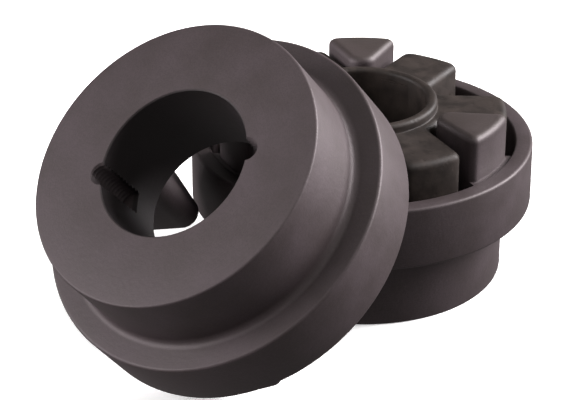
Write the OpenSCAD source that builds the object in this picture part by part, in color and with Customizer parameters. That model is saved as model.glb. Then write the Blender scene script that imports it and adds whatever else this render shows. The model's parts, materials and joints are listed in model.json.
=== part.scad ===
// Flexible dog coupling taken apart: two equal cast halves and one rubber element.
// One half stands on its hub face with the element seated in its cup; the other
// half leans against its rim. Millimetres, +Z up, origin at the centre of the
// standing half's hub face, on the surface it stands on.

/* [Casting] */
// Outside diameter of the shrouded rim
rim_d = 85; // [84:0.5:90]
// Width of the rim along the axis
rim_w = 15.8; // [14:0.2:18]
// Diameter of the hub
hub_d = 71; // [66:0.5:74]
// Length of one half, hub face to rim face
half_len = 34.5; // [34:0.5:38]
// Inside diameter of the cup
cup_d = 76.4; // [76:0.2:77]
// Depth of the cup below the rim face
cup_depth = 11.5; // [10:0.5:12]
// Radius of the fillet where the hub meets the rim
hub_fillet = 1.6; // [0.8:0.2:2.4]
// Rounding of the rim's two outer edges
rim_round = 0.8; // [0.4:0.1:1.2]
// Chamfer round the hub face
face_chamfer = 0.6; // [0.3:0.1:1]

/* [Taper seat] */
// Diameter of the seat at the hub face, its large end
seat_d = 36.6; // [34:0.2:38]
// Half angle of the taper in degrees
seat_angle = 4; // [3:0.5:5]
// Diameter of the two half-round screw notches
notch_d = 6.4; // [5:0.2:7]
// Depth of the screw notches
notch_depth = 15; // [10:1:18]
// Angle from a dog's mirror line to the notches
notch_turn = 90; // [0:5:90]
// Bevel at the seat's inner end, where it opens into the cup
seat_bevel = 1; // [0.5:0.5:3]

/* [Dogs] */
// Height of a dog above the rim face
dog_rise = 11; // [9:0.5:11]
// Radius of a dog's outer face above the rim
dog_outer_r = 36.8; // [36:0.2:37]
// Radius of the nose that faces the axis
dog_nose_r = 3.9; // [3:0.1:4]
// Distance of the nose's centre from the axis
dog_nose_x = 25.3; // [25:0.1:26]
// Angle of each flank to the dog's centre line
dog_flank = 25; // [20:1:27]
// Rounding of a dog's two outer corners
dog_corner_r = 1.6; // [1:0.2:2]

/* [Rubber element] */
// Diameter of the hole through the ring
ring_hole_d = 32; // [28:0.5:33]
// Outside radius of the raised lip
lip_outer_r = 18.6; // [18:0.1:19]
// Outside radius of the ring at the roots of the lobes
ring_outer_r = 20.8; // [20:0.1:21]
// Height of the ring, lip to lip
ring_h = 21.9; // [20:0.1:22]
// Height of the lip above the lobes at each end
lip_h = 2.4; // [1.5:0.1:3]
// How far the ring between the lobes lies below their end faces
web_step = 0.3; // [0.2:0.1:1]
// Width of a lobe
lobe_w = 15.8; // [14:0.2:16]
// Radius of the lobes' outer ends
lobe_outer_r = 35.8; // [34:0.2:36.4]
// Rounding of a lobe's outer corners
lobe_corner_r = 2.4; // [1.5:0.1:3]
// Fillet between a lobe and the ring
lobe_root_r = 2.5; // [1.5:0.1:3]

/* [Arrangement] */
// Direction of the standing half's first dog
standing_turn = 10.5; // [6:0.5:14]
// Turn of the element inside the play between the dogs
element_turn = -1.5; // [-1.8:0.1:1.8]
// Turn of the leaning half about its own axis
leaning_turn = 61; // [60:0.5:62]
// Angle of the leaning half's axis above the horizontal
lean_angle = 49; // [48:0.5:49]
// Sideways place of the leaning half's mouth
lean_x = 8.6; // [7:0.2:9]
// Distance from the origin to the leaning half's mouth
lean_y = 53.4; // [53:0.2:57]
// Height of the leaning rim above the floor: its lowest dog stands there instead
rim_lift = 3.6; // [3.5:0.1:5]
// Clearance under the rubber element
seat_gap = 0.1; // [0.05:0.05:0.3]

/* [Hidden] */
$fn = 96;

rim_r = rim_d / 2;
hub_r = hub_d / 2;
cup_r = cup_d / 2;
floor_z = half_len - cup_depth;
rim_z = half_len - rim_w;
bevel_r = seat_d / 2 - (floor_z - seat_bevel) * tan(seat_angle);
seat_small_d = seat_d - 2 * floor_z * tan(seat_angle);
dog_pitch = 120;
lobe_pitch = 60;
over = 1;
root_bite = 0.15;

// Points along an arc about a centre, from one angle to another
function arc_points(centre, r, from, to, steps = 6) =
    [for (i = [0:steps]) let (a = from + (to - from) * i / steps)
        centre + r * [cos(a), sin(a)]];

// Half of an outline and its mirror image in the X axis, joined into one
function both_sides(points) =
    concat(points, [for (i = [len(points) - 1:-1:0]) [points[i].x, -points[i].y]]);

module fillet_area(r) {
    difference() {
        square(r);
        translate([r, r]) circle(r);
    }
}

// Cross-section of the turned part of the casting, without the dogs
module casting_section() {
    difference() {
        union() {
            square([hub_r, rim_z + over]);
            translate([0, rim_z]) square([rim_r, rim_w]);
            translate([hub_r, rim_z]) mirror([0, 1]) fillet_area(hub_fillet);
        }
        translate([0, floor_z]) square([cup_r, cup_depth + over]);
        translate([hub_r, 0]) rotate(45) square(face_chamfer * sqrt(2), center = true);
        translate([rim_r, rim_z]) mirror([1, 0]) fillet_area(rim_round);
        translate([rim_r, half_len]) rotate(180) fillet_area(rim_round);
    }
}

// Plan of one dog, pointing along +X, out to the given radius
module dog_plan(outer_r, corner_r) {
    flank_h = dog_nose_r / cos(dog_flank) - dog_nose_x * tan(dog_flank);
    // the corner circle's centre lies on a line parallel to the flank
    slope = tan(dog_flank);
    start_h = flank_h - corner_r / cos(dog_flank);
    reach = outer_r - corner_r;
    centre_x = (-slope * start_h + sqrt((1 + slope * slope) * reach * reach - start_h * start_h))
        / (1 + slope * slope);
    centre = [centre_x, slope * centre_x + start_h];
    corner_a = atan2(centre.y, centre.x);
    polygon(both_sides(concat(
        arc_points([dog_nose_x, 0], dog_nose_r, 180, 90 + dog_flank, 8),
        arc_points(centre, corner_r, 90 + dog_flank, corner_a),
        arc_points([0, 0], outer_r, corner_a, 0, 6))));
}

// One half of the coupling: hub face at z = 0, cup and dogs towards +Z
module coupling_half() {
    difference() {
        union() {
            rotate_extrude() casting_section();
            for (i = [0:2]) rotate(i * dog_pitch) {
                translate([0, 0, floor_z - over])
                    linear_extrude(half_len + dog_rise - floor_z + over)
                        dog_plan(dog_outer_r, dog_corner_r);
                translate([0, 0, floor_z - over])
                    linear_extrude(cup_depth + over - rim_round)
                        dog_plan(cup_r + over, dog_corner_r);
            }
        }
        translate([0, 0, -over])
            cylinder(h = floor_z + 2 * over, d1 = seat_d + 2 * over * tan(seat_angle),
                d2 = seat_small_d - 2 * over * tan(seat_angle));
        translate([0, 0, floor_z - seat_bevel])
            cylinder(h = seat_bevel + over, r1 = bevel_r, r2 = bevel_r + seat_bevel + over);
        for (side = [0:1]) rotate(notch_turn + side * 180)
            translate([seat_d / 2, 0, -over]) cylinder(h = notch_depth + over, d = notch_d, $fn = 48);
    }
}

// Plan of one lobe with its root fillets, pointing along +X
module lobe_plan() {
    half_w = lobe_w / 2;
    root_y = half_w + lobe_root_r;
    root_x = sqrt(pow(ring_outer_r + lobe_root_r - root_bite, 2) - root_y * root_y);
    root_a = atan2(root_y, root_x);
    corner_y = half_w - lobe_corner_r;
    corner_x = sqrt(pow(lobe_outer_r - lobe_corner_r, 2) - corner_y * corner_y);
    corner_a = atan2(corner_y, corner_x);
    polygon(both_sides(concat(
        [lip_outer_r * [cos(root_a), sin(root_a)]],
        arc_points([root_x, root_y], lobe_root_r, 180 + root_a, 270),
        arc_points([corner_x, corner_y], lobe_corner_r, 90, corner_a),
        arc_points([0, 0], lobe_outer_r, corner_a, 0, 4))));
}

// Rounding of the lip's two edges at the lower end of the ring
module lip_rounding(r) {
    translate([ring_hole_d / 2, 0]) fillet_area(r);
    translate([lip_outer_r, 0]) mirror([1, 0]) fillet_area(r);
}

// The element: bottom lip at z = 0
module element_body() {
    lobe_h = ring_h - 2 * lip_h;
    hole_r = ring_hole_d / 2;
    rotate_extrude() difference() {
        union() {
            translate([hole_r, 0]) square([lip_outer_r - hole_r, ring_h]);
            translate([hole_r, lip_h + web_step])
                square([ring_outer_r - hole_r, lobe_h - 2 * web_step]);
        }
        lip_rounding(lip_h / 2);
        translate([0, ring_h]) mirror([0, 1]) lip_rounding(lip_h / 2);
    }
    for (i = [0:5]) rotate(i * lobe_pitch)
        translate([0, 0, lip_h]) linear_extrude(lobe_h) lobe_plan();
}

module standing_half() {
    color("#5c5052") rotate(standing_turn) coupling_half();
}

module rubber_element() {
    color("#454039") translate([0, 0, floor_z + seat_gap])
        rotate(standing_turn + lobe_pitch / 2 + element_turn) element_body();
}

module leaning_half() {
    mouth = [lean_x, -lean_y, rim_lift + rim_r * cos(lean_angle)];
    back = half_len * [0, -cos(lean_angle), sin(lean_angle)];
    color("#5c5052") translate(mouth + back)
        rotate([-90 - lean_angle, 0, 0]) rotate(leaning_turn) coupling_half();
}

standing_half();
rubber_element();
leaning_half();
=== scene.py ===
# Flexible dog coupling taken apart: one cast half stands with the rubber element
# seated in its cup, and an equal cast half leans against its rim.
import json
import math

import bpy
from mathutils import Matrix, Vector


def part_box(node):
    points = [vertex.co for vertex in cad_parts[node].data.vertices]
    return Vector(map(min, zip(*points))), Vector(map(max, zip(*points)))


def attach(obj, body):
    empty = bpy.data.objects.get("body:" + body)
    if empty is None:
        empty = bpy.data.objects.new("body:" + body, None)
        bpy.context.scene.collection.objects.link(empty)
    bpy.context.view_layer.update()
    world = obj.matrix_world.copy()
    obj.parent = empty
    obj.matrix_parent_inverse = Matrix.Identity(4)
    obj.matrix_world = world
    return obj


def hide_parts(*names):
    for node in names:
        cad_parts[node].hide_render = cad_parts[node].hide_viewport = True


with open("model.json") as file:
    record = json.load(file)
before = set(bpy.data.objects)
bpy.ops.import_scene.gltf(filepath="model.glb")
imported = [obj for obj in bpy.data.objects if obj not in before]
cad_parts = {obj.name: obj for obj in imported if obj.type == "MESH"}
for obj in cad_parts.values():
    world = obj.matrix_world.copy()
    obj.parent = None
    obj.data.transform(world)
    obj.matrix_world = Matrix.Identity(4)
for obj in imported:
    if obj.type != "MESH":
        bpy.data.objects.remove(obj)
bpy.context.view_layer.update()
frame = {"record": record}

# ---------------------------------------------------------------- camera
# A long lens on the standing half's dog side, a little above the coupling, so both
# the open cup and the leaning half's hub face are seen.
camera_bearing, camera_height = math.radians(-48.30), math.radians(27.15)
camera_aim = Vector((-0.00681, -0.02116, 0.02180))
camera_range = 0.5983
towards_camera = Vector((math.cos(camera_height) * math.cos(camera_bearing),
                         math.cos(camera_height) * math.sin(camera_bearing),
                         math.sin(camera_height)))
camera_data = bpy.data.cameras.new("studio_camera")
camera_data.sensor_width = 36.0
camera_data.lens = 152.6
camera_data.clip_start, camera_data.clip_end = 0.01, 20.0
camera = bpy.data.objects.new("studio_camera", camera_data)
camera.location = camera_aim + towards_camera * camera_range
camera.rotation_euler = (-towards_camera).to_track_quat("-Z", "Y").to_euler()
bpy.context.scene.collection.objects.link(camera)
bpy.context.scene.camera = camera

# ---------------------------------------------------------------- floor and backdrop
# A plain white studio floor and a white dome behind it. Both are there to be seen, and
# send no light back to the coupling, which keeps its undersides dark.
bpy.context.scene.view_settings.view_transform = "Standard"
bpy.ops.object.select_all(action="DESELECT")
bpy.ops.mesh.primitive_plane_add(size=9.0, location=(0, 0, 0))
floor = bpy.context.object
floor.name = "floor"
floor_paint = bpy.data.materials.new("floor_white")
floor_paint.use_nodes = True
floor_shader = floor_paint.node_tree.nodes["Principled BSDF"]
floor_shader.inputs["Base Color"].default_value = (0.93, 0.93, 0.93, 1)
floor_shader.inputs["Roughness"].default_value = 0.9
floor_shader.inputs["Specular IOR Level"].default_value = 0.0
floor_shader.inputs["Emission Color"].default_value = (1, 1, 1, 1)
floor_shader.inputs["Emission Strength"].default_value = 0.45
floor.data.materials.append(floor_paint)
bpy.ops.mesh.primitive_uv_sphere_add(segments=48, ring_count=24, radius=4.4, location=(0, 0, 0))
dome = bpy.context.object
dome.name = "backdrop"
dome_paint = bpy.data.materials.new("backdrop_white")
dome_paint.use_nodes = True
dome_shader = dome_paint.node_tree.nodes["Principled BSDF"]
dome_shader.inputs["Base Color"].default_value = (0, 0, 0, 1)
dome_shader.inputs["Specular IOR Level"].default_value = 0.0
dome_shader.inputs["Emission Color"].default_value = (1, 1, 1, 1)
dome_shader.inputs["Emission Strength"].default_value = 1.0
dome.data.materials.append(dome_paint)
for screen in (floor, dome):
    screen.visible_diffuse = screen.visible_glossy = False
dome.visible_shadow = False

# ---------------------------------------------------------------- lights
# Wide soft lights: the main one low on the right and a little behind, which grazes the
# rims, a weaker one on the left for the leaning half's hub face, and a faint one above.
room = bpy.data.worlds.new("dim_room")
bpy.context.scene.world = room
room.use_nodes = True
room.node_tree.nodes["Background"].inputs["Color"].default_value = (1, 0.95, 0.94, 1)
room.node_tree.nodes["Background"].inputs["Strength"].default_value = 0.23
for name, bearing, height, spread, strength, colour in (
        ("soft_light_right", 60, 28, 36, 10.0, (1.0, 0.965, 0.98)),
        ("soft_light_left", -128, 10, 50, 4.9, (1.0, 0.955, 0.975)),
        ("soft_light_top", -70, 72, 60, 0.9, (1.0, 1.0, 0.96))):
    lamp_data = bpy.data.lights.new(name, "SUN")
    lamp_data.angle = math.radians(spread)
    lamp_data.energy, lamp_data.color = strength, colour
    lamp = bpy.data.objects.new(name, lamp_data)
    b, h = math.radians(bearing), math.radians(height)
    direction = Vector((math.cos(h) * math.cos(b), math.cos(h) * math.sin(b), math.sin(h)))
    lamp.location = direction
    lamp.rotation_euler = (-direction).to_track_quat("-Z", "Y").to_euler()
    bpy.context.scene.collection.objects.link(lamp)

# ---------------------------------------------------------------- cast half: turned body
# Each half is one grey iron casting: a hub, and a wider rim that shrouds the dogs.
# The outside, the hub face, the rim face and the taper seat are turned in a lathe.
rim_r, hub_r, cup_r = 0.0425, 0.0355, 0.0382
half_length, rim_back, cup_floor = 0.0345, 0.0187, 0.0230
seat_large_r, seat_small_r, seat_bevel = 0.0183, 0.01676, 0.001
body_steps = 144
# vertices closer than the weld are one; the tight distance tells close outlines apart
weld, tight = 1e-6, 1e-7


def select_verts(obj, test):
    """Selects, in edit mode, the vertices whose place passes the test."""
    bpy.ops.object.mode_set(mode="OBJECT")
    for part in (*obj.data.polygons, *obj.data.edges, *obj.data.vertices):
        part.select = False
    for vert in obj.data.vertices:
        vert.select = bool(test(vert.co))
    bpy.ops.object.mode_set(mode="EDIT")
    bpy.ops.mesh.select_mode(type="VERT")


def draw_outline(name, points):
    """A wire through the points: a plane cut down to one corner, then extruded on."""
    bpy.ops.object.select_all(action="DESELECT")
    half_side = 0.001
    bpy.ops.mesh.primitive_plane_add(size=2 * half_side, location=(0, 0, 0))
    obj = bpy.context.object
    obj.name = name
    corner = Vector((half_side, half_side, 0))
    select_verts(obj, lambda co: (co - corner).length > half_side)
    bpy.ops.mesh.delete(type="VERT")
    bpy.ops.mesh.select_all(action="SELECT")
    bpy.ops.transform.translate(value=Vector(points[0]) - corner)
    for here, there in zip(points, points[1:]):
        step = Vector(there) - Vector(here)
        bpy.ops.mesh.extrude_region_move(TRANSFORM_OT_translate={"value": step})
    # close the loop with an edge from the last corner to the first
    ends = (Vector(points[0]), Vector(points[-1]))
    select_verts(obj, lambda co: min((co - e).length for e in ends) < weld)
    bpy.ops.mesh.edge_face_add()
    return obj


# radius, height, size of the rounding at that corner, and its segments
body_corners = (
    (seat_large_r, 0.0, 0.0003, 1),
    (hub_r, 0.0, 0.0006, 3),
    (hub_r, rim_back, 0.0019, 6),
    (rim_r, rim_back, 0.0008, 4),
    (rim_r, half_length, 0.0008, 4),
    (cup_r, half_length, 0.0005, 3),
    (cup_r, cup_floor, 0.0012, 4),
    (seat_small_r + seat_bevel, cup_floor, 0.0003, 2),
    (seat_small_r, cup_floor - seat_bevel, 0.0, 0),
)
half = draw_outline("cast_half", [(r, 0.0, z) for r, z, _, _ in body_corners])
for r, z, rounding, segments in body_corners:
    if rounding:
        select_verts(half, lambda co: math.hypot(co.x - r, co.z - z) < weld)
        bpy.ops.mesh.bevel(offset=rounding, segments=segments, affect="VERTICES")
bpy.ops.mesh.select_all(action="SELECT")
bpy.ops.mesh.spin(steps=body_steps, angle=math.tau, center=(0, 0, 0), axis=(0, 0, 1))
bpy.ops.mesh.select_all(action="SELECT")
bpy.ops.mesh.remove_doubles(threshold=weld)
bpy.ops.mesh.normals_make_consistent(inside=False)
bpy.ops.object.mode_set(mode="OBJECT")

# ---------------------------------------------------------------- cast half: dogs
# Three wedge-shaped dogs are cast in one with the cup's floor and wall, and stand
# above the rim. Their outer faces are cut back in the lathe, which leaves a shelf.
dog_end_z, shelf_z = half_length + 0.011, half_length - 0.0008
dog_outer_r, dog_root_r, dog_corner_r = 0.0368, cup_r + 0.0015, 0.0016
nose_r, nose_x, flank = 0.0039, 0.0253, math.radians(25)


def arc(cx, cy, r, start, stop, steps):
    """Points along an arc in plan, from one angle to another."""
    return [(cx + r * math.cos(start + (stop - start) * i / steps),
             cy + r * math.sin(start + (stop - start) * i / steps)) for i in range(steps + 1)]


def dog_outline(z, outer_r, grow):
    """The dog's plan at one height, pointing along +X, grown or shrunk all round."""
    r = nose_r + grow
    slope, foot = math.tan(flank), r / math.cos(flank) - nose_x * math.tan(flank)
    corner = dog_corner_r + grow / 2
    start, reach = foot - corner / math.cos(flank), outer_r - corner
    steep = 1 + slope ** 2
    x = (-slope * start + math.sqrt(steep * reach ** 2 - start ** 2)) / steep
    y = slope * x + start
    turn, square = math.atan2(y, x), math.pi / 2
    upper = (arc(nose_x, 0, r, math.pi, square + flank, 10)
             + arc(x, y, corner, square + flank, turn, 5)
             + arc(0, 0, outer_r, turn, 0, 8)[1:])
    return [(px, py, z) for px, py in upper] + [(px, -py, z) for px, py in upper[-2:0:-1]]


def stack_outlines(name, levels):
    """A closed solid: the first outline is extruded through the others and capped."""
    obj = draw_outline(name, levels[0])
    for below, level in zip(levels, levels[1:]):
        places = [Vector(p) for p in below]
        select_verts(obj, lambda co: min((co - p).length for p in places) < tight)
        bpy.ops.mesh.extrude_region_move()
        bpy.ops.object.mode_set(mode="OBJECT")
        for vert in obj.data.vertices:
            if vert.select:
                nearest = min(range(len(places)), key=lambda k: (vert.co - places[k]).length)
                vert.co = level[nearest]
        bpy.ops.object.mode_set(mode="EDIT")
    for level in (levels[0], levels[-1]):
        places = [Vector(p) for p in level]
        select_verts(obj, lambda co: min((co - p).length for p in places) < tight)
        bpy.ops.mesh.edge_face_add()
    bpy.ops.mesh.select_all(action="SELECT")
    bpy.ops.mesh.normals_make_consistent(inside=False)
    bpy.ops.object.mode_set(mode="OBJECT")
    return obj


def combine(obj, tool, operation):
    """Joins the tool to the piece, or cuts it out, and removes the tool."""
    bpy.ops.object.select_all(action="DESELECT")
    bpy.context.view_layer.objects.active = obj
    obj.select_set(True)
    modifier = obj.modifiers.new(operation.lower(), "BOOLEAN")
    modifier.operation, modifier.object, modifier.solver = operation, tool, "MANIFOLD"
    bpy.ops.object.modifier_apply(modifier=modifier.name)
    bpy.data.objects.remove(tool)


# height, outer radius, growth: the foot's fillet, the shelf with its fillet, the round end
mm = 0.001
end_round, end_steps = 1.8 * mm, 5
dog_levels = [
    (cup_floor - mm, dog_root_r, mm), (cup_floor + 0.02 * mm, dog_root_r, mm),
    (cup_floor + 0.14 * mm, dog_root_r, 0.52 * mm), (cup_floor + 0.45 * mm, dog_root_r, 0.17 * mm),
    (cup_floor + mm, dog_root_r, 0.0), (shelf_z, dog_root_r, 0.0),
    (shelf_z + 0.01 * mm, dog_outer_r + 0.5 * mm, 0.0),
    (shelf_z + 0.16 * mm, dog_outer_r + 0.14 * mm, 0.0), (shelf_z + 0.5 * mm, dog_outer_r, 0.0)]
for step in range(end_steps + 1):
    a = math.radians(90 / end_steps * step)
    shrink = end_round * (1 - math.cos(a))
    dog_levels.append((dog_end_z - end_round * (1 - math.sin(a)), dog_outer_r - shrink, -shrink))
dog = stack_outlines("dog", [dog_outline(*level) for level in dog_levels])
for turn in (0, 120, 240):
    copy = dog.copy()
    copy.data = dog.data.copy()
    copy.data.transform(Matrix.Rotation(math.radians(turn), 4, "Z"))
    bpy.context.scene.collection.objects.link(copy)
    combine(half, copy, "UNION")
bpy.data.objects.remove(dog)

# ---------------------------------------------------------------- cast half: screw notches
# Two half-round notches in the taper seat are tapped for the quarter-inch grub screws
# that clamp the bush. The other half of each screw hole is in the bush.
notch_depth, notch_overrun = 0.015, 0.0005
thread_pitch, thread_crest_r, thread_root_r = 0.00127, 0.0031, 0.0026
thread_steps, spare_turns = 28, 4
for side in (90, 270):
    tap = draw_outline("tap", [(thread_root_r, 0, -2 * thread_pitch),
                               (thread_crest_r, 0, -1.55 * thread_pitch),
                               (thread_crest_r, 0, -1.45 * thread_pitch),
                               (thread_root_r, 0, -thread_pitch)])
    # the outline must stay open, so its closing edge goes
    select_verts(tap, lambda co: abs(co.x - thread_root_r) < weld)
    bpy.ops.mesh.select_mode(type="EDGE")
    bpy.ops.mesh.delete(type="EDGE_FACE")
    bpy.ops.object.mode_set(mode="OBJECT")
    turns = tap.modifiers.new("turns", "SCREW")
    turns.axis, turns.angle, turns.screw_offset = "Z", math.tau, thread_pitch
    turns.steps = turns.render_steps = thread_steps
    turns.iterations = round(notch_depth / thread_pitch) + spare_turns
    turns.use_merge_vertices, turns.merge_threshold = True, weld
    bpy.ops.object.select_all(action="DESELECT")
    bpy.context.view_layer.objects.active = tap
    tap.select_set(True)
    bpy.ops.object.modifier_apply(modifier="turns")
    bpy.ops.object.mode_set(mode="EDIT")
    bpy.ops.mesh.select_all(action="SELECT")
    bpy.ops.mesh.remove_doubles(threshold=weld)
    for height, normal in ((-notch_overrun, -1), (notch_depth, 1)):
        bpy.ops.mesh.select_all(action="SELECT")
        bpy.ops.mesh.bisect(plane_co=(0, 0, height), plane_no=(0, 0, normal),
                            use_fill=True, clear_outer=True, threshold=tight)
    bpy.ops.mesh.select_all(action="SELECT")
    bpy.ops.mesh.normals_make_consistent(inside=False)
    bpy.ops.object.mode_set(mode="OBJECT")
    a = math.radians(side)
    tap.data.transform(Matrix.Translation(
        (seat_large_r * math.cos(a), seat_large_r * math.sin(a), 0)))
    combine(half, tap, "DIFFERENCE")


# ---------------------------------------------------------------- cast halves: finish
# Phosphated grey iron: a dark purple-grey crystalline coat, satin where it was turned,
# with fine lathe rings that show through. The taper seat has painted shade in its colour,
# and the dogs' end faces carry a painted darker, browner tint for the warm light from above.
def phosphated_iron(name, place, turn):
    """The coat for one half; place and turn bring the pattern onto that half's axis."""
    seat_edge, end_edge, end_start = 0.0004, 0.0002, 0.0009
    material = bpy.data.materials.new(name)
    material.use_nodes = True
    nodes, links = material.node_tree.nodes, material.node_tree.links
    nodes.clear()

    output = nodes.new("ShaderNodeOutputMaterial")
    output.label, output.location = "phosphated iron", (1900, 0)
    shader = nodes.new("ShaderNodeBsdfPrincipled")
    shader.label, shader.location = "satin dark coat", (1600, 0)
    shader.inputs["Metallic"].default_value = 0.25
    shader.inputs["Specular IOR Level"].default_value = 0.42

    frame_place = nodes.new("NodeFrame")
    frame_place.label = "place on the half's own axis"
    coords = nodes.new("ShaderNodeTexCoord")
    coords.label, coords.location = "place on the piece", (-1500, 0)
    coords.parent = frame_place
    own_axis = nodes.new("ShaderNodeMapping")
    own_axis.label, own_axis.location = "onto its own axis", (-1300, 0)
    own_axis.parent = frame_place
    own_axis.vector_type = "TEXTURE"
    own_axis.inputs["Location"].default_value = place
    own_axis.inputs["Rotation"].default_value = turn
    split = nodes.new("ShaderNodeSeparateXYZ")
    split.label, split.location, split.parent = "across and along", (-1100, 120), frame_place
    plan = nodes.new("ShaderNodeCombineXYZ")
    plan.label, plan.location, plan.parent = "across only", (-900, 160), frame_place
    distance = nodes.new("ShaderNodeVectorMath")
    distance.label, distance.location = "distance from axis", (-700, 160)
    distance.parent = frame_place
    distance.operation = "LENGTH"
    links.new(coords.outputs["Object"], own_axis.inputs["Vector"])
    links.new(own_axis.outputs["Vector"], split.inputs["Vector"])
    links.new(split.outputs["X"], plan.inputs["X"])
    links.new(split.outputs["Y"], plan.inputs["Y"])
    links.new(plan.outputs["Vector"], distance.inputs[0])

    frame_lathe = nodes.new("NodeFrame")
    frame_lathe.label = "lathe rings"
    feed = nodes.new("ShaderNodeMath")
    feed.label, feed.location, feed.parent = "tool's path", (-450, 260), frame_lathe
    feed.operation = "ADD"
    rings = nodes.new("ShaderNodeTexNoise")
    rings.label, rings.location, rings.parent = "turned rings", (-250, 260), frame_lathe
    rings.noise_dimensions = "1D"
    rings.inputs["Scale"].default_value = 4200.0
    rings.inputs["Detail"].default_value = 2.0
    links.new(distance.outputs["Value"], feed.inputs[0])
    links.new(split.outputs["Z"], feed.inputs[1])
    links.new(feed.outputs["Value"], rings.inputs["W"])

    frame_coat = nodes.new("NodeFrame")
    frame_coat.label = "crystalline coat"
    crystals = nodes.new("ShaderNodeTexVoronoi")
    crystals.label, crystals.location = "phosphate crystals", (-450, -40)
    crystals.parent = frame_coat
    crystals.inputs["Scale"].default_value = 2600.0
    grain = nodes.new("ShaderNodeTexNoise")
    grain.label, grain.location, grain.parent = "sand grain", (-450, -300), frame_coat
    grain.inputs["Scale"].default_value = 900.0
    grain.inputs["Detail"].default_value = 6.0
    patches = nodes.new("ShaderNodeTexNoise")
    patches.label, patches.location, patches.parent = "patchy coat", (-450, -560), frame_coat
    patches.inputs["Scale"].default_value = 75.0
    patches.inputs["Detail"].default_value = 4.0
    patches.inputs["Roughness"].default_value = 0.6
    for texture in (crystals, grain, patches):
        links.new(own_axis.outputs["Vector"], texture.inputs["Vector"])

    frame_colour = nodes.new("NodeFrame")
    frame_colour.label = "colour"
    coat = nodes.new("ShaderNodeValToRGB")
    coat.label, coat.location, coat.parent = "coat, brown to violet", (100, 0), frame_colour
    coat.color_ramp.elements[0].position = 0.36
    coat.color_ramp.elements[0].color = (0.043, 0.0325, 0.0335, 1)
    coat.color_ramp.elements[1].position = 0.66
    coat.color_ramp.elements[1].color = (0.056, 0.0425, 0.0465, 1)
    speckle = nodes.new("ShaderNodeValToRGB")
    speckle.label, speckle.location, speckle.parent = "crystal speckle", (100, -240), frame_colour
    speckle.color_ramp.elements[0].position = 0.0
    speckle.color_ramp.elements[0].color = (0.86, 0.86, 0.86, 1)
    speckle.color_ramp.elements[1].position = 0.7
    speckle.color_ramp.elements[1].color = (1.10, 1.10, 1.10, 1)
    ring_tone = nodes.new("ShaderNodeValToRGB")
    ring_tone.label, ring_tone.location, ring_tone.parent = "ring tone", (100, 260), frame_colour
    ring_tone.color_ramp.elements[0].position = 0.3
    ring_tone.color_ramp.elements[0].color = (0.95, 0.95, 0.95, 1)
    ring_tone.color_ramp.elements[1].position = 0.7
    ring_tone.color_ramp.elements[1].color = (1.05, 1.05, 1.05, 1)
    with_speckle = nodes.new("ShaderNodeMix")
    with_speckle.label, with_speckle.location = "add speckle", (400, -60)
    with_speckle.parent = frame_colour
    with_speckle.data_type, with_speckle.blend_type = "RGBA", "MULTIPLY"
    with_speckle.inputs["Factor"].default_value = 1.0
    with_rings = nodes.new("ShaderNodeMix")
    with_rings.label, with_rings.location, with_rings.parent = "add rings", (600, 60), frame_colour
    with_rings.data_type, with_rings.blend_type = "RGBA", "MULTIPLY"
    with_rings.inputs["Factor"].default_value = 1.0
    # painted shade: inside the taper seat the coat's colour is darkened to a third, as deep in the
    # bore
    painted_seat_shade = nodes.new("ShaderNodeMapRange")
    painted_seat_shade.label, painted_seat_shade.location = "painted shade in the seat", (600, 320)
    painted_seat_shade.parent = frame_colour
    painted_seat_shade.inputs["From Min"].default_value = seat_large_r
    painted_seat_shade.inputs["From Max"].default_value = seat_large_r + seat_edge
    painted_seat_shade.inputs["To Min"].default_value = 0.34
    painted_seat_shade.inputs["To Max"].default_value = 1.0
    with_seat_shade = nodes.new("ShaderNodeMix")
    with_seat_shade.label, with_seat_shade.location = "darken the seat", (800, 160)
    with_seat_shade.parent = frame_colour
    with_seat_shade.data_type, with_seat_shade.blend_type = "RGBA", "MULTIPLY"
    with_seat_shade.inputs["Factor"].default_value = 1.0
    # painted light: the dogs' end faces are tinted darker and browner, standing in for warm light
    # from above
    end_face = nodes.new("ShaderNodeMapRange")
    end_face.label, end_face.location = "dogs' end faces", (800, 420)
    end_face.parent = frame_colour
    end_face.inputs["From Min"].default_value = dog_end_z - end_start
    end_face.inputs["From Max"].default_value = dog_end_z - end_edge
    painted_top_light_tint = nodes.new("ShaderNodeMix")
    painted_top_light_tint.label, painted_top_light_tint.location, painted_top_light_tint.parent = "painted top light tint", (1000, 260), frame_colour
    painted_top_light_tint.data_type, painted_top_light_tint.blend_type = "RGBA", "MULTIPLY"
    painted_top_light_tint.inputs[7].default_value = (0.80, 0.80, 0.72, 1)
    links.new(split.outputs["Z"], end_face.inputs["Value"])
    links.new(end_face.outputs["Result"], painted_top_light_tint.inputs["Factor"])
    links.new(patches.outputs["Fac"], coat.inputs["Fac"])
    links.new(crystals.outputs["Distance"], speckle.inputs["Fac"])
    links.new(rings.outputs["Fac"], ring_tone.inputs["Fac"])
    links.new(coat.outputs["Color"], with_speckle.inputs[6])
    links.new(speckle.outputs["Color"], with_speckle.inputs[7])
    links.new(with_speckle.outputs[2], with_rings.inputs[6])
    links.new(ring_tone.outputs["Color"], with_rings.inputs[7])
    links.new(distance.outputs["Value"], painted_seat_shade.inputs["Value"])
    links.new(with_rings.outputs[2], with_seat_shade.inputs[6])
    links.new(painted_seat_shade.outputs["Result"], with_seat_shade.inputs[7])
    links.new(with_seat_shade.outputs[2], painted_top_light_tint.inputs[6])
    links.new(painted_top_light_tint.outputs[2], shader.inputs["Base Color"])

    frame_gloss = nodes.new("NodeFrame")
    frame_gloss.label = "satin gloss"
    gloss = nodes.new("ShaderNodeMapRange")
    gloss.label, gloss.location, gloss.parent = "patchy gloss", (1100, -120), frame_gloss
    gloss.inputs["From Min"].default_value = 0.3
    gloss.inputs["From Max"].default_value = 0.7
    gloss.inputs["To Min"].default_value = 0.50
    gloss.inputs["To Max"].default_value = 0.60
    links.new(patches.outputs["Fac"], gloss.inputs["Value"])
    links.new(gloss.outputs["Result"], shader.inputs["Roughness"])

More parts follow.
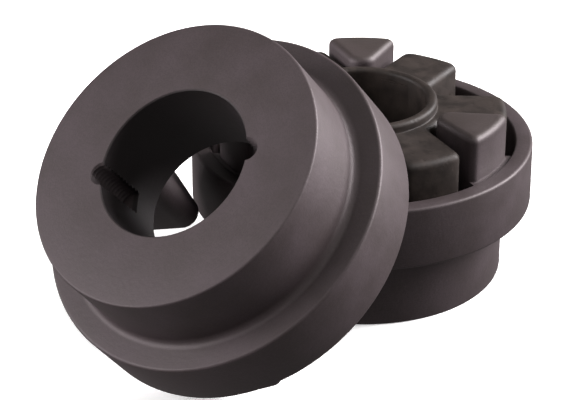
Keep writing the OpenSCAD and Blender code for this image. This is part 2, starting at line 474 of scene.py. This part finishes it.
    frame_relief = nodes.new("NodeFrame")
    frame_relief.label = "relief"
    ring_relief = nodes.new("ShaderNodeBump")
    ring_relief.label, ring_relief.location = "lathe rings", (1000, -420)
    ring_relief.parent = frame_relief
    ring_relief.inputs["Strength"].default_value = 0.25
    ring_relief.inputs["Distance"].default_value = 0.00003
    grain_relief = nodes.new("ShaderNodeBump")
    grain_relief.label, grain_relief.location = "sand grain", (1200, -420)
    grain_relief.parent = frame_relief
    grain_relief.inputs["Strength"].default_value = 0.5
    grain_relief.inputs["Distance"].default_value = 0.00008
    links.new(rings.outputs["Fac"], ring_relief.inputs["Height"])
    links.new(grain.outputs["Fac"], grain_relief.inputs["Height"])
    links.new(ring_relief.outputs["Normal"], grain_relief.inputs["Normal"])
    links.new(grain_relief.outputs["Normal"], shader.inputs["Normal"])
    links.new(shader.outputs["BSDF"], output.inputs["Surface"])
    return material


# ---------------------------------------------------------------- cast halves: in place
# Both halves are the same casting. One stands on its hub face; the other stands on the
# corner of a dog and leans with its rim against the first.
standing_turn, leaning_turn = math.radians(10.5), math.radians(61)
leaning_seat = {m["name"]: m for m in frame["record"]["mounts"]}["leaning_taper_seat"]
leaning_tilt = -math.pi / 2 - math.asin(leaning_seat["axis"][2])
for name, body, place, tilt, turn in (
        ("standing_casting", "standing", Vector((0, 0, 0)), 0.0, standing_turn),
        ("leaning_casting", "leaning", Vector(leaning_seat["pos_m"]), leaning_tilt, leaning_turn)):
    casting = half.copy()
    casting.data = half.data.copy()
    casting.name = name
    casting.data.transform(Matrix.Translation(place) @ Matrix.Rotation(tilt, 4, "X")
                           @ Matrix.Rotation(turn, 4, "Z"))
    casting.data.materials.clear()
    casting.data.materials.append(phosphated_iron(name + "_coat", place, (tilt, 0, 0)))
    bpy.context.scene.collection.objects.link(casting)
    bpy.ops.object.select_all(action="DESELECT")
    bpy.context.view_layer.objects.active = casting
    casting.select_set(True)
    bpy.ops.object.shade_smooth_by_angle(angle=math.radians(32))
    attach(casting, body)
    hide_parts(body + "_half")
bpy.data.objects.remove(half)

# ---------------------------------------------------------------- rubber element
# One moulded piece of hard black rubber: a ring with a raised lip at each end and six
# lobes, which fill the gaps between the dogs of the two halves.
hole_r, lip_r, ring_r, ring_height, lip_height = 0.0160, 0.0186, 0.0208, 0.0219, 0.0024
lobe_half_width, lobe_r, lobe_corner_r, lobe_foot_r = 0.0079, 0.0358, 0.0024, 0.0025
# the lobes start inside the lip and bite into the ring, so that the two join cleanly
lobe_start_r, lobe_bite, lobe_least_corner_r = 0.0173, 0.00015, 0.0007
lip_round, lip_foot_r, web_round, ring_steps = 0.0011, 0.0004, 0.0017, 120
element_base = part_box("rubber_element")[0][2]
half_dog_pitch, element_play = 30, 1.5
element_turn = standing_turn + math.radians(half_dog_pitch - element_play)
web = lip_height + 0.00003
# radius, height, size of the rounding at that corner, and its segments
ring_corners = (
    (hole_r, 0.0, lip_round, 5), (lip_r, 0.0, lip_round, 5),
    (lip_r, web, lip_foot_r, 4), (ring_r, web, web_round, 6),
    (ring_r, ring_height - web, web_round, 6), (lip_r, ring_height - web, lip_foot_r, 4),
    (lip_r, ring_height, lip_round, 5), (hole_r, ring_height, lip_round, 5))
element = draw_outline("rubber_star", [(r, 0.0, z) for r, z, _, _ in ring_corners])
for r, z, rounding, segments in ring_corners:
    select_verts(element, lambda co: math.hypot(co.x - r, co.z - z) < weld)
    bpy.ops.mesh.bevel(offset=rounding, segments=segments, affect="VERTICES")
bpy.ops.mesh.select_all(action="SELECT")
bpy.ops.mesh.spin(steps=ring_steps, angle=math.tau, center=(0, 0, 0), axis=(0, 0, 1))
bpy.ops.mesh.select_all(action="SELECT")
bpy.ops.mesh.remove_doubles(threshold=weld)
bpy.ops.mesh.normals_make_consistent(inside=False)
bpy.ops.object.mode_set(mode="OBJECT")


def lobe_outline(z, grow):
    """The lobe's plan at one height, pointing along +X, grown or shrunk all round."""
    foot_y, reach = lobe_half_width + lobe_foot_r, ring_r + lobe_foot_r - lobe_bite
    foot_x = math.sqrt(reach ** 2 - foot_y ** 2)
    foot_turn = math.atan2(foot_y, foot_x)
    corner = max(lobe_least_corner_r, lobe_corner_r + grow / 2)
    y = lobe_half_width + grow - corner
    x = math.sqrt((lobe_r + grow - corner) ** 2 - y ** 2)
    turn, square = math.atan2(y, x), math.pi / 2
    upper = ([(lobe_start_r * math.cos(foot_turn), lobe_start_r * math.sin(foot_turn))]
             + arc(foot_x, foot_y, lobe_foot_r - grow, math.pi + foot_turn, 3 * square, 7)
             + arc(x, y, corner, square, turn, 6)
             + arc(0, 0, lobe_r + grow, turn, 0, 5)[1:])
    return [(px, py, z) for px, py in upper] + [(px, -py, z) for px, py in reversed(upper[:-1])]


# growth and rise in millimetres: the slightly domed end face, then its rounded edge
edge_steps = ((-3.3, -0.06), (-1.8, 0.0), (-1.24, 0.09), (-0.74, 0.34),
              (-0.34, 0.74), (-0.09, 1.24), (0.0, 1.8))
lower = [(lip_height + rise * mm, grow * mm) for grow, rise in edge_steps]
higher = [(ring_height - z, grow) for z, grow in reversed(lower)]
lobe = stack_outlines("lobe", [lobe_outline(z, grow) for z, grow in lower + higher])
for turn in range(0, 360, 60):
    copy = lobe.copy()
    copy.data = lobe.data.copy()
    copy.data.transform(Matrix.Rotation(math.radians(turn), 4, "Z"))
    bpy.context.scene.collection.objects.link(copy)
    combine(element, copy, "UNION")
bpy.data.objects.remove(lobe)
element.data.transform(Matrix.Translation((0, 0, element_base))
                       @ Matrix.Rotation(element_turn, 4, "Z"))
bpy.ops.object.select_all(action="DESELECT")
bpy.context.view_layer.objects.active = element
element.select_set(True)
bpy.ops.object.shade_smooth_by_angle(angle=math.radians(38))

rubber = bpy.data.materials.new("moulded_rubber")
rubber.use_nodes = True
nodes, links = rubber.node_tree.nodes, rubber.node_tree.links
nodes.clear()
output = nodes.new("ShaderNodeOutputMaterial")
output.label, output.location = "moulded rubber", (1200, 0)
shader = nodes.new("ShaderNodeBsdfPrincipled")
shader.label, shader.location = "rubber skin", (900, 0)
shader.inputs["Specular IOR Level"].default_value = 0.22
coords = nodes.new("ShaderNodeTexCoord")
coords.label, coords.location = "place on the element", (-900, 0)
frame_bloom = nodes.new("NodeFrame")
frame_bloom.label = "bloom and dust"
bloom = nodes.new("ShaderNodeTexNoise")
bloom.label, bloom.location, bloom.parent = "dull bloom", (-600, 200), frame_bloom
bloom.inputs["Scale"].default_value = 230.0
bloom.inputs["Detail"].default_value = 5.0
bloom.inputs["Roughness"].default_value = 0.62
bloom_tone = nodes.new("ShaderNodeValToRGB")
bloom_tone.label, bloom_tone.location = "black to brown grey", (-300, 200)
bloom_tone.parent = frame_bloom
bloom_tone.color_ramp.elements[0].position = 0.35
bloom_tone.color_ramp.elements[0].color = (0.0125, 0.0093, 0.0079, 1)
bloom_tone.color_ramp.elements[1].position = 0.70
bloom_tone.color_ramp.elements[1].color = (0.0300, 0.0224, 0.0191, 1)
frame_skin = nodes.new("NodeFrame")
frame_skin.label = "skin of the mould"
pits = nodes.new("ShaderNodeTexVoronoi")
pits.label, pits.location, pits.parent = "small pits", (-600, -150), frame_skin
pits.inputs["Scale"].default_value = 420.0
pit_shape = nodes.new("ShaderNodeMapRange")
pit_shape.label, pit_shape.location, pit_shape.parent = "pit shape", (-300, -150), frame_skin
pit_shape.inputs["From Min"].default_value = 0.0
pit_shape.inputs["From Max"].default_value = 0.25
fine = nodes.new("ShaderNodeTexNoise")
fine.label, fine.location, fine.parent = "fine grain", (-600, -450), frame_skin
fine.inputs["Scale"].default_value = 1100.0
fine.inputs["Detail"].default_value = 4.0
pit_relief = nodes.new("ShaderNodeBump")
pit_relief.label, pit_relief.location, pit_relief.parent = "pits", (300, -300), frame_skin
pit_relief.inputs["Strength"].default_value = 0.45
pit_relief.inputs["Distance"].default_value = 0.00012
fine_relief = nodes.new("ShaderNodeBump")
fine_relief.label, fine_relief.location, fine_relief.parent = "grain", (550, -300), frame_skin
fine_relief.inputs["Strength"].default_value = 0.5
fine_relief.inputs["Distance"].default_value = 0.00006
gloss = nodes.new("ShaderNodeMapRange")
gloss.label, gloss.location = "patchy sheen", (300, 0)
gloss.inputs["From Min"].default_value = 0.3
gloss.inputs["From Max"].default_value = 0.7
gloss.inputs["To Min"].default_value = 0.50
gloss.inputs["To Max"].default_value = 0.64
for texture in (bloom, pits, fine):
    links.new(coords.outputs["Object"], texture.inputs["Vector"])
links.new(bloom.outputs["Fac"], bloom_tone.inputs["Fac"])
links.new(bloom_tone.outputs["Color"], shader.inputs["Base Color"])
links.new(bloom.outputs["Fac"], gloss.inputs["Value"])
links.new(gloss.outputs["Result"], shader.inputs["Roughness"])
links.new(pits.outputs["Distance"], pit_shape.inputs["Value"])
links.new(pit_shape.outputs["Result"], pit_relief.inputs["Height"])
links.new(fine.outputs["Fac"], fine_relief.inputs["Height"])
links.new(pit_relief.outputs["Normal"], fine_relief.inputs["Normal"])
links.new(fine_relief.outputs["Normal"], shader.inputs["Normal"])
links.new(shader.outputs["BSDF"], output.inputs["Surface"])
element.data.materials.clear()
element.data.materials.append(rubber)
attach(element, "element")
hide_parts("rubber_element")
